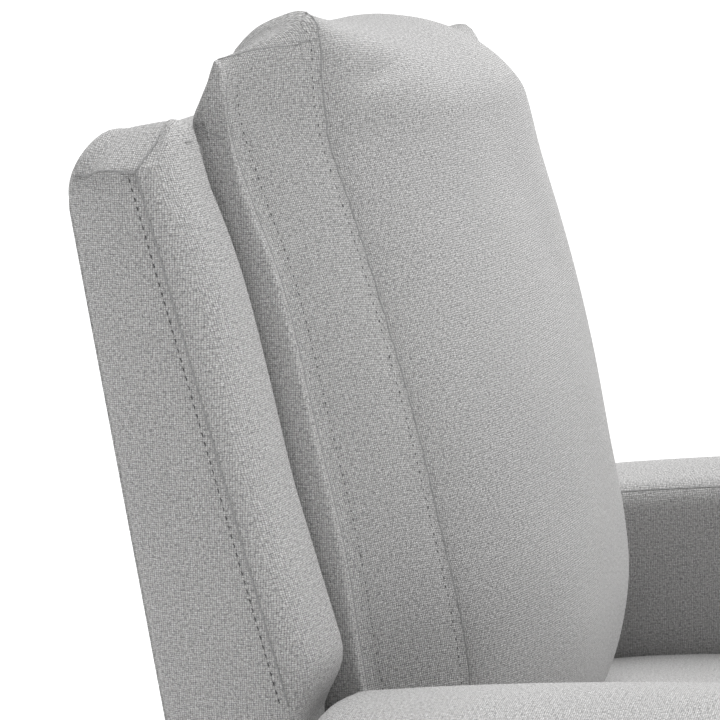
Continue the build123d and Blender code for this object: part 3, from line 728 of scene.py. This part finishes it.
def cushion_relief(x, z):
    """How far the cloth sinks: puckers at the inner seam, soft folds and ripples."""
    away = abs(x)
    inward = SEAM_INNER - away
    strength = 1.0 if x < 0 else 0.6
    pucker = hill(inward, 0.015) * math.sin(z * 2 * math.pi / 0.017 + 3 * math.sin(z * 40))
    ripple = noise_at(x * 1.6, z * 1.2, z + x, 5.0)
    crease = hill(z - 1.012 - 0.30 * (inward - 0.040), 0.0065) * hill(inward - 0.040, 0.024)
    wrinkle = hill(z - 0.968 - 0.16 * inward, 0.007) * hill(inward - 0.024, 0.020)
    fold = hill(z - 0.985 - 0.9 * (away - 0.225), 0.011)
    fold *= smooth((away - SEAM_INNER - 0.004) / 0.02) * smooth((0.250 - away) / 0.01)
    pulled = strength * (0.0060 * crease + 0.0014 * wrinkle)
    return 0.0026 * ripple - 0.0004 * pucker + pulled + 0.0024 * fold


def cushion_ring(x):
    """The cushion's outline at a place across it, with its folds, as (y, z) points."""
    points = [(p.x, p.y) for p in smooth_loop(cushion_controls(x))]
    sinks = []
    for k, (_, z) in enumerate(points):
        fade = smooth((RIDGE_POINT - k) / FOLD_FADE)
        sinks.append(-cushion_relief(x, z) * fade)
    return inset_outline(points, sinks)


def cushion_places():
    """Places across the cushion from left to right, with one on each seam."""
    gusset = [mix(SEAM_OUTER, SEAM_INNER, n / GUSSET_STRIPS) for n in range(GUSSET_STRIPS + 1)]
    turn = math.pi / 2 / PANEL_STRIPS
    panel = [SEAM_INNER * math.cos(turn * n) ** 0.92 for n in range(1, PANEL_STRIPS)]
    half = gusset + panel
    return half + [0.0] + [-x for x in reversed(half)]


def tucked(k, z):
    """How much a point of the cushion's outline belongs to the rear of its head."""
    return smooth((k - RIDGE_POINT) / 4) * smooth((z - 0.955) / 0.03)


def side_rolls(outline):
    """How far the side's edge comes in at each point: less where the head is thin."""
    tip = max(z for _, z in HEAD_OUTER) + 0.004
    foot_y, foot_z = HEAD_OUTER[-1]
    wide = foot_y - HEAD_OUTER[0][0]
    rolls = []
    for k, (_, z) in enumerate(outline):
        room = wide * max(0.0, tip - z) / (tip - foot_z)
        rolls.append(mix(min(SIDE_ROLL, 0.35 * room), 0.45 * room, tucked(k, z)))
    return rolls


def cushion_side(side, start):
    """The boxed side, outwards from its first ring: a roll at its edge, then a nearly flat face."""
    outline = [(y, z) for _, y, z in start]
    rolls = side_rolls(outline)
    out = SEAM_OUTER + CUSHION_SIDE
    rings = []
    for n in range(1, SIDE_TURNS + 1):
        angle = math.pi / 2 * n / SIDE_TURNS
        shape = inset_outline(outline, [-r * (1 - math.cos(angle)) for r in rolls])
        places = [side * mix(abs(x), out, math.sin(angle)) for x, _, _ in start]
        rings.append([(x, *p) for x, p in zip(places, shape)])
    edge = rings[-1]
    middle = [sum(p[i] for p in edge) / len(edge) for i in (1, 2)]
    for shrink in reversed(CAP_SHRINKS):
        at = side * (out + 0.001 * (1 - shrink ** 2))
        rings.append([(at, mix(middle[0], p[1], shrink), mix(middle[1], p[2], shrink)) for p in edge])
    return rings


def back_cushion():
    """The attached back cushion as one closed, crowned form, with its head part."""
    places = cushion_places()
    shapes = [cushion_ring(x) for x in places]
    across, uv_rings, rings = 0.0, [], []
    for k, (x, shape) in enumerate(zip(places, shapes)):
        if k:
            before = (places[k - 1], *shapes[k - 1][MIDDLE_POINT])
            across += math.dist(before, (x, *shape[MIDDLE_POINT]))
        run = [0.0]
        for a, b in zip(shape, shape[1:] + shape[:1]):
            run.append(run[-1] + math.dist(a, b))
        end = smooth((abs(x) - 0.205) / 0.046)
        rings.append([(x * (1 - HEAD_TUCK * end * tucked(n, p[1])), *p) for n, p in enumerate(shape)])
        uv_rings.append([(run[0], across, run[-1])] + [(at, across) for at in run[1:-1]])
    left, right = cushion_side(1, rings[0]), cushion_side(-1, rings[-1])
    rings = left[::-1] + rings + right
    uv_rings = [None] * len(left) + uv_rings + [None] * len(right)
    piece = closed_skin("back_cushion_cover", rings, CLOTH, uv_rings)
    upholstery(piece, "back_cushion")
    cushion_seams(piece)


def cushion_seams(skin):
    """The two long seams on each side, and the seams of the cap on each side of the head."""
    rows = (
        ("inner", SEAM_INNER, TOPSTITCH_AWAY, RIDGE_POINT),
        ("outer", SEAM_OUTER, -TOPSTITCH_AWAY, CAP_POINT),
    )
    for side, name in SIDES:
        for label, place, topstitch, last in rows:
            for away, lay, kind in ((0.0, seam_line, "seam"), (topstitch, stitches, "stitches")):
                x = side * (place + away)
                path = [Vector((x, *p)) for p in cushion_ring(x)[2:last]]
                lay(f"cushion_{label}_{kind}_{name}", path, skin)
        cap = []
        for n in range(12):
            x = side * mix(SEAM_INNER, SEAM_OUTER, n / 11)
            cap.append(Vector((x, *cushion_ring(x)[round(mix(CAP_POINT, RIDGE_POINT, n / 11))])))
        seam_line(f"head_cap_seam_{name}", cap, skin)
        beyond = side * (SEAM_OUTER + CUSHION_SIDE)
        strip = [Vector((beyond, mix(0.309, 0.333, n / 4), mix(0.975, 0.984, n / 4))) for n in range(5)]
        seam_line(f"head_side_seam_{name}", strip, skin)


# ---- Wings ----

WING_IN = WING_LOW.x       # the wing's inner face
WING_OUT = WING_HIGH.x - 0.0015    # its outer face, before it swells
WING_REAR_CORNER = 0.012   # how far the wing's outer rear corner bends round
UNDER_PANEL = 0.006        # how far the wing's rear lies in from the chair's rear, under the panel
WING_BEND_Z = 0.60         # below this the wing's front lies along the rear of the arm
WING_SEAM_Y = 0.2544       # the front seam of the outer panel, at ARM_Z
WING_SEAM_LEAN = 0.2624    # how far that seam moves back for each metre up
WING_FRONT_Y = 0.2360      # the front panel's foremost line, at WING_FRONT_Z
WING_FRONT_Z = 0.656
WING_FRONT_LEAN = 0.2875
WING_CURL = 0.030          # how far that line curls back as it meets the arm
WING_BOW = 0.0085          # how far it bows forwards higher up
FRONT_WRAP = 0.051         # how far across the front panel bends round from its outer seam
CAP_FOOT_Z = 0.945         # where the cap begins to round over at the rear
CAP_TOP_Z = 0.989          # the cap's top at CAP_MIDDLE_Y
CAP_SLOPE = 0.20           # the cap rises this much for each metre forwards
CAP_MIDDLE_Y = 0.360
CAP_TURNS = 12             # mesh steps up the cap
CAP_CREASE = math.radians(48)      # how sharply the cap bends in at its seam


def wing_seam_y(z):
    """Where the wing's outer panel meets its front panel."""
    return WING_SEAM_Y + WING_SEAM_LEAN * (z - ARM_Z)


def arm_rear_y(z):
    """Just behind the rear of the arm, where the wing comes down."""
    return 0.246 + LEAN * (z - ARM_TOP_REAR)


def wing_front_y(z):
    """The foremost line of the wing's front panel, which curls back at the arm."""
    leaning = WING_FRONT_Y + WING_FRONT_LEAN * (z - WING_FRONT_Z)
    curl = WING_CURL * smooth((0.650 - z) / 0.062) ** 1.4
    up = min(max((z - 0.740) / 0.236, 0.0), 1.0)
    bow = WING_BOW * math.sin(math.pi * up ** 1.5)
    return mix(leaning + curl - bow, arm_rear_y(z), smooth((WING_BEND_Z - z) / 0.03))


def wing_section(z):
    """A level cut through the left wing, from its inner rear corner round the outside."""
    back = rear(z) - UNDER_PANEL
    side_end = rear(z) - 0.013
    seam = mix(wing_seam_y(z), arm_rear_y(z) + 0.012, smooth((WING_BEND_Z - z) / 0.03))
    front = wing_front_y(z)
    turned = front + 0.020
    points = [(mix(WING_IN, WING_OUT - 0.014, n / 6), back) for n in range(6)]
    for n in range(5):
        angle = math.pi / 2 * n / 4
        across = WING_OUT - WING_REAR_CORNER * (1 - math.sin(angle))
        points.append((across, side_end + 0.011 * math.cos(angle)))
    for n in range(1, 9):
        t = n / 8
        points.append((WING_OUT + 0.0030 * math.sin(math.pi * t), mix(side_end, seam, t)))
    for n in range(1, 13):
        angle = math.pi / 2 * n / 12
        across = WING_OUT - FRONT_WRAP * (1 - math.cos(angle)) ** 0.95
        points.append((across, seam - (seam - front) * math.sin(angle) ** 0.92))
    reach = WING_OUT - FRONT_WRAP - WING_IN
    for n in range(1, 7):
        angle = math.pi / 2 * n / 6
        points.append((WING_IN + reach * (1 - math.sin(angle)), mix(turned, front, math.cos(angle))))
    inside = mix(turned, back, 0.4)
    points += [(WING_IN, mix(turned, inside, n / 4)) for n in range(1, 5)]
    points += [(WING_IN, mix(inside, back, n / 3)) for n in range(1, 3)]
    return points


def wing_cap(base):
    """The rings of the wing's rounded cap: creased at its seam, and round at the rear."""
    side_rear = rear(CAP_FOOT_Z) - 0.006
    rings = []
    for n in range(CAP_TURNS + 1):
        ring = []
        for x, y in base:
            ahead = smooth((0.372 - y) / 0.030)
            outside = smooth((x - WING_OUT + 0.016) / 0.014) * smooth((side_rear - y) / 0.024)
            first = CAP_CREASE * max(ahead, outside)
            angle = mix(first, math.pi / 2, n / CAP_TURNS)
            inwards = 1 - math.cos(angle) / math.cos(first)
            upwards = (math.sin(angle) - math.sin(first)) / (1 - math.sin(first))
            upwards = mix(upwards, inwards, 0.65 * outside)
            seam_rise = mix(0.016, 0.028, smooth((WING_OUT - x) / 0.020))
            foot = CAP_FOOT_Z + max(seam_rise * ahead, 0.016 * outside)
            across = WING_IN + (x - WING_IN) * (1 - 0.70 * inwards)
            along = y + 0.27 * ahead * (foot - CAP_FOOT_Z)
            along = CAP_MIDDLE_Y + (along - CAP_MIDDLE_Y) * (1 - mix(0.68, 0.30, ahead) * inwards)
            top = CAP_TOP_Z + CAP_SLOPE * (CAP_MIDDLE_Y - along)
            top -= 0.009 * smooth((WING_IN + 0.036 - across) / 0.036)
            ring.append((across, along, mix(foot, top, upwards)))
        rings.append(ring)
    last = rings[-1]
    centre = [sum(p[i] for p in last) / len(last) for i in range(3)]
    for shrink in (0.85, 0.7, 0.5, 0.25):
        rings.append([tuple(mix(c, v, shrink) for v, c in zip(p, centre)) for p in last])
    return rings


def wing(side, name):
    """One padded wing with its outer panel, front panel and rounded cap."""
    low = WING_LOW.z + 0.004
    rows = round((CAP_FOOT_Z - low) / 0.008)
    heights = [mix(low, CAP_FOOT_Z, r / rows) for r in range(rows + 1)]
    rings = [[(x, y, z) for x, y in wing_section(z)] for z in heights]
    rings += wing_cap(wing_section(CAP_FOOT_Z))
    rings = [
        [(side * x, y + 0.0010 * noise_at(x * 3, y * 3, z * 2, 7.0 + side), z) for x, y, z in ring]
        for ring in rings
    ]
    if side < 0:
        rings = [list(reversed(ring)) for ring in rings]
    piece = closed_skin(f"wing_cover_{name}", rings, CLOTH)
    upholstery(piece, f"wing_{name}")
    wing_seams(piece, side, name)


def wing_seams(skin, side, name):
    """The long seam at the front of the outer panel, its topstitching and the cap's seams."""
    out = side * WING_HIGH.x
    seam_top = 0.962
    seam = [Vector((out, wing_seam_y(z), z)) for z in np.arange(0.615, seam_top, 0.008)]
    seam_line(f"wing_front_seam_{name}", seam, skin)
    row = [p + Vector((0, TOPSTITCH_AWAY, 0)) for p in seam]
    stitches(f"wing_front_stitches_{name}", row, skin)
    corner = Vector((out, wing_seam_y(seam_top), seam_top))
    behind = Vector((out, rear(seam_top) - 0.012, seam_top - 0.001))
    seam_line(f"wing_cap_seam_{name}", [behind.lerp(corner, n / 8) for n in range(9)], skin)
    over = []
    for n in range(11):
        t = 0.072 * n
        climb = math.sin(math.pi / 2 * min(1, 1.6 * t))
        across = side * mix(WING_HIGH.x, 0.262, t)
        over.append(Vector((across, mix(corner.y, 0.329, t), mix(seam_top, 0.973, climb))))
    seam_line(f"wing_front_cap_seam_{name}", over, skin)


# ---- Outside back and the ledge over the frame ----


def outside_back():
    """The padded rear panel between the wings, with a rounded top and a seam down each side."""
    low, high = PANEL_LOW.z + 0.002, CAP_FOOT_Z + 0.006
    half = PANEL_HIGH.x - 0.006
    rows, columns = 60, 40
    round_top = 0.018
    rings = []
    for r in range(rows + 1):
        z = mix(low, high, 1 - (1 - r / rows) ** 1.35)
        t = (z - low) / (high - low)
        end = min(smooth((z - low) / 0.012), smooth((high - z) / 0.020))
        top = min(1.0, max(0.0, z - high + round_top) / round_top)
        back = rear(z) - 0.003 - 0.008 * (1 - math.sqrt(1 - top ** 2))
        ring = []
        for n in range(columns + 1):
            u = n / columns
            edge = 1 - abs(2 * u - 1) ** 14
            crown = 0.006 * math.sqrt(math.sin(math.pi * u) if 0 < n < columns else 0.0)
            crown *= max(0.0, math.sin(math.pi * t)) ** 0.4
            ring.append((mix(-half, half, u), back + (crown - 0.001) * edge * end, z))
        for n in range(columns + 1):
            ring.append((mix(half - 0.003, -half + 0.003, n / columns), rear(z) - 0.013, z))
        rings.append(ring)
    piece = closed_skin("outside_back_cover", rings, CLOTH)
    upholstery(piece, "outside_back")
    for side, name in SIDES:
        place = side * (half - 0.014)
        path = [Vector((place, rear(z), z)) for z in np.arange(low + 0.01, high - 0.01, 0.01)]
        stitched_seam(f"outside_back_{name}", path, piece, Vector((-side * TOPSTITCH_AWAY, 0, 0)))


def top_roll():
    """The padded ledge on the back frame's top rail, behind the head of the cushion."""
    top = min(LEDGE_HIGH.z + 0.003, 0.975)
    back_y = rear(top) - 0.008
    front_y = back_y - 0.070
    corners = [(front_y, LEDGE_LOW.z), (back_y, LEDGE_LOW.z), (back_y, top), (front_y, top)]
    outline = rounded_polygon(corners, [0.004, 0.004, 0.022, 0.010], 0.008)
    piece = padded_slab("top_roll_cover", outline, (-WING_IN - 0.004, WING_IN + 0.004), 0.004, 0.0)
    upholstery(piece, "top_roll")


# ---- Arms ----


ARM_ROLL = 0.024           # how far the top band rolls over each side
ARM_SEAM = 0.007           # how far in from each side face the band's seam lies


def arm_top(y):
    """The arched top of an arm: an arc, highest a little ahead of the middle."""
    t = (ARM_HIGH.y - y) / (ARM_HIGH.y - ARM_LOW.y)
    return mix(ARM_TOP_REAR, ARM_TOP_FRONT, t) + 4 * ARM_ARCH * t * (1 - t)


def arm_outline():
    """The side outline of an arm, anticlockwise as seen from the left."""
    bottom_rear = ARM_HIGH.y - LEAN * (ARM_TOP_REAR - ARM_LOW.z)
    corners = [(ARM_LOW.y, ARM_LOW.z), (bottom_rear, ARM_LOW.z), (ARM_HIGH.y, arm_top(ARM_HIGH.y))]
    radii = [0.010, 0.010, 0.026]
    arch = 14
    for n in range(1, arch):
        y = mix(ARM_HIGH.y, ARM_LOW.y, 0.05 + 0.80 * n / arch)
        corners.append((y, arm_top(y)))
        radii.append(0)
    corners.append((ARM_LOW.y, arm_top(ARM_LOW.y)))
    radii.append(0.055)
    return rounded_polygon(corners, radii, 0.010)


def arm(side, name):
    """One padded arm: a top band that runs down the front, with a seam along each edge."""
    outline = arm_outline()
    rolls = [mix(0.007, ARM_ROLL, smooth((z - ARM_LOW.z - 0.03) / 0.08)) for _, z in outline]
    piece = padded_slab(f"arm_pad_{name}", outline, (ARM_LOW.x, ARM_HIGH.x), ARM_ROLL, 0.003, rolls)
    if side < 0:
        mesh = piece.data
        mesh.transform(Matrix.Scale(-1, 4, (1, 0, 0)))
        mesh.flip_normals()
    upholstery(piece, f"arm_cover_{name}")
    band = [p for p in outline if p[1] > ARM_LOW.z + 0.05 and not (p[0] > 0.15 and p[1] < 0.60)]
    start = max(range(len(band)), key=lambda k: band[k][0])
    band = band[start:] + band[:start]
    for x, label in ((ARM_LOW.x + ARM_SEAM, "inner"), (ARM_HIGH.x - ARM_SEAM, "outer")):
        path = [Vector((side * x, *p)) for p in inset_outline(band, ARM_SEAM, closed=False)]
        seam_line(f"arm_{label}_seam_{name}", path, piece)


# ---- Seat cushion and front ----


# Where the mesh has a cut across the seat cushion: close together round its front edge.
SEAT_CUTS = [-0.398, -0.396, -0.392, -0.385, -0.376, -0.364, -0.350, *np.arange(-0.335, 0.236, 0.010)]
SEAT_COLUMNS = 52          # mesh strips across the top


def seat_cut(y):
    """A cut across the seat cushion, from right to left over the top, then back underneath."""
    half = SEAT_HIGH.x
    low = SEAT_LOW.z + 0.001
    top_edge = curve_at(SEAT_SIDE, y)
    front = smooth((y + 0.400) / 0.05)
    bottom = mix(low + 0.010, low - 0.004, smooth((y + 0.400) / 0.02))
    cut = []
    for n in range(SEAT_COLUMNS + 1):
        x = half * math.sin(math.pi / 2 * (2 * n / SEAT_COLUMNS - 1))
        crown = (seat_top(x, y) - top_edge) * front
        ripple = 0.0018 * noise_at(x * 1.4, y * 1.3, x - y, 11.0) * crown / SEAT_CREST
        roll = 0.010 * max(0.0, (abs(x / half) - 0.965) / 0.035) ** 2
        cut.append((x, y, top_edge + crown + ripple - roll))
    side = []
    for t in (0.2, 0.4, 0.6, 0.8):
        bulge = 0.0012 * math.sin(math.pi * t)
        side.append((half + bulge - 0.001, y, mix(top_edge - 0.010, bottom, t)))
    under = [(mix(half - 0.002, -half + 0.002, n / 12), y, bottom) for n in range(13)]
    return cut + side + under + [(-x, y, z) for x, y, z in reversed(side)]


def seat_cushion():
    """The attached seat cushion: crowned on top, rolled over at the front."""
    rings = [list(reversed(seat_cut(y))) for y in SEAT_CUTS]
    piece = closed_skin("seat_cushion_cover", rings, CLOTH)
    upholstery(piece, "seat_cushion")
    half = SEAT_HIGH.x - 0.006
    path = [Vector((x, -0.397, 0.436)) for x in np.arange(-half, half, 0.008)]
    stitched_seam("seat_front", path, piece, Vector((0, 0.002, TOPSTITCH_AWAY)))


def front_panel():
    """The padded panel under the seat cushion, wrapped round the edges of its board."""
    low, high = FRONT_LOW, FRONT_HIGH
    front = low.y - 0.004
    behind = high.y + 0.0095
    corners = [(front, low.z), (behind, low.z), (behind, high.z), (front, high.z)]
    outline = rounded_polygon(corners, [0.004, 0.002, 0.002, 0.005], 0.006)
    piece = padded_slab("front_panel_cover", outline, (low.x - 0.0006, high.x + 0.0006), 0.003, 0.0)
    upholstery(piece, "front_cover")
    places = np.arange(low.x + 0.01, high.x - 0.01, 0.008)
    hem = [Vector((x, low.y - 0.005, low.z + 0.018)) for x in places]
    stitches("front_hem_stitches", hem, piece)


# ---- Camera, floor and light ----

CAMERA_PLACE = (-1.816, -0.275, 1.157)
CAMERA_HEADING = math.radians(17.62)   # from +X towards +Y
CAMERA_DOWN = math.radians(11.26)
CAMERA_ROLL = math.radians(1.44)
CAMERA_LENS = 128.0
TOWARDS_LIGHT = (0.38, -0.25, 0.89)
FLOOR_REACH = 60.0


def add_camera():
    """A long lens from the sitter's right, a little above the arms."""
    data = bpy.data.cameras.new("camera")
    data.lens = CAMERA_LENS
    data.sensor_width = 36.0
    camera = add_object("camera", data)
    level = math.cos(CAMERA_DOWN)
    east, north = math.cos(CAMERA_HEADING) * level, math.sin(CAMERA_HEADING) * level
    ahead = Vector((east, north, -math.sin(CAMERA_DOWN)))
    right = ahead.cross(Vector((0, 0, 1))).normalized()
    up = right.cross(ahead)
    turned_right = right * math.cos(CAMERA_ROLL) - up * math.sin(CAMERA_ROLL)
    turned_up = up * math.cos(CAMERA_ROLL) + right * math.sin(CAMERA_ROLL)
    turn = Matrix((turned_right, turned_up, -ahead)).transposed().to_4x4()
    camera.matrix_world = Matrix.Translation(CAMERA_PLACE) @ turn
    bpy.context.scene.camera = camera


def add_floor():
    """A plain pale floor, wide enough to fill the view behind the chair."""
    mesh = bpy.data.meshes.new("floor")
    corners = [(x * FLOOR_REACH, y * FLOOR_REACH, 0) for x, y in ((-1, -1), (1, -1), (1, 1), (-1, 1))]
    mesh.from_pydata(corners, [], [(0, 1, 2, 3)])
    material, shader = new_material("pale_floor", (0.95, 0.95, 0.95), 0.9)
    shader.inputs["Specular IOR Level"].default_value = 0.0
    mesh.materials.append(material)
    add_object("floor", mesh)


def add_lights():
    """One broad soft light from above the far front corner, and even light all round."""
    world = bpy.data.worlds.new("studio")
    world.use_nodes = True
    background = world.node_tree.nodes["Background"]
    background.inputs["Color"].default_value = (1, 1, 1, 1)
    background.inputs["Strength"].default_value = 0.34
    bpy.context.scene.world = world
    data = bpy.data.lights.new("soft_light", "SUN")
    data.energy = 3.75
    data.angle = math.radians(60)
    light = add_object("soft_light", data)
    light.rotation_euler = Vector(TOWARDS_LIGHT).to_track_quat("Z", "Y").to_euler()
    bpy.context.scene.view_settings.view_transform = "Standard"


add_camera()
add_floor()
add_lights()
finish_cad_nodes()
back_cushion()
for sign, side_name in SIDES:
    wing(sign, side_name)
    arm(sign, side_name)
outside_back()
top_roll()
seat_cushion()
front_panel()
